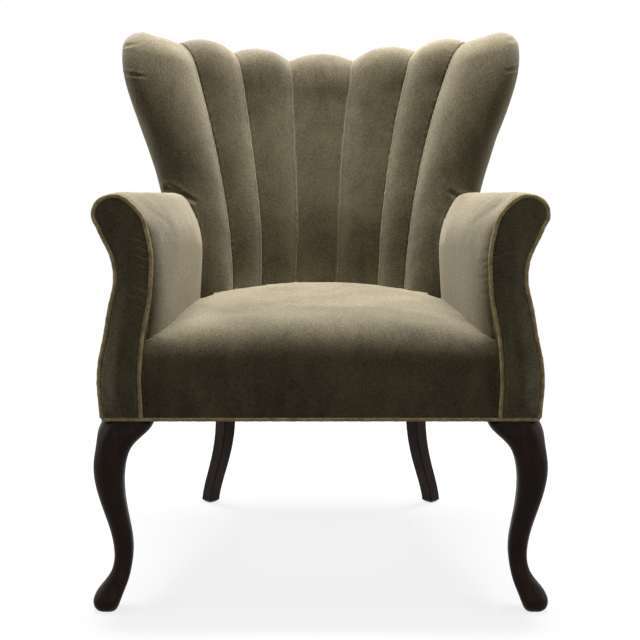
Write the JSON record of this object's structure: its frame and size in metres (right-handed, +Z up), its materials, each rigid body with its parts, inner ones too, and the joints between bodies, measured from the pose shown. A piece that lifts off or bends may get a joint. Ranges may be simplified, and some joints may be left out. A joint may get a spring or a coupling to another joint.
{
  "type": "upholstered armchair",
  "caption": "Upholstered reading chair with a fanned, channelled wing back, rolled arms, a tight crowned seat, piped edges and dark cabriole front legs.",
  "frame": {"origin": "on the floor, under the middle of the chair's width and depth", "axes": "+X to the right as seen from the front, +Y from the front towards the back, +Z up"},
  "size_m": [0.7557, 0.7763, 0.9428],
  "materials": {
    "velvet": "short mohair velvet pile",
    "welt_cord": "covered piping cord",
    "dark_wood": "dark stain under satin lacquer",
    "frame_wood": "planed hardwood",
    "steel": "plain wire and zinc plate",
    "burlap": "plain jute weave",
    "dust_cloth": "thin black lining"
  },
  "bodies": {
    "root": {"arm_front_panel_left": "velvet", "arm_front_panel_right": "velvet", "arm_post_left": "frame_wood", "arm_post_right": "frame_wood", "arm_stuffing_rail_left": "frame_wood", "arm_stuffing_rail_right": "frame_wood", "arm_top_rail_left": "frame_wood", "arm_top_rail_right": "frame_wood", "arm_welt_left": "welt_cord", "arm_welt_right": "welt_cord", "back_burlap": "burlap", "back_channel_1": "velvet", "back_channel_2": "velvet", "back_channel_3": "velvet", "back_channel_4": "velvet", "back_channel_5": "velvet", "back_channel_6": "velvet", "back_channel_7": "velvet", "back_lower_rail": "frame_wood", "back_post_left": "frame_wood", "back_post_right": "frame_wood", "back_seat_rail": "frame_wood", "back_top_rail": "frame_wood", "back_webbing": "burlap", "base_welt": "welt_cord", "corner_block_screws": "steel", "corner_blocks": "frame_wood", "dust_cover": "dust_cloth", "front_leg_left": "dark_wood", "front_leg_right": "dark_wood", "front_seat_rail": "frame_wood", "inside_arm_pad_left": "velvet", "inside_arm_pad_right": "velvet", "leg_bolts": "steel", "outside_arm_left": "velvet", "outside_arm_right": "velvet", "outside_back": "velvet", "rear_leg_left": "dark_wood", "rear_leg_right": "dark_wood", "seat_burlap": "burlap", "seat_pad": "velvet", "seat_springs": "steel", "side_seat_rail_left": "frame_wood", "side_seat_rail_right": "frame_wood", "spring_clips": "steel", "wing_board_left": "frame_wood", "wing_board_right": "frame_wood"}
  },
  "joints": []
}
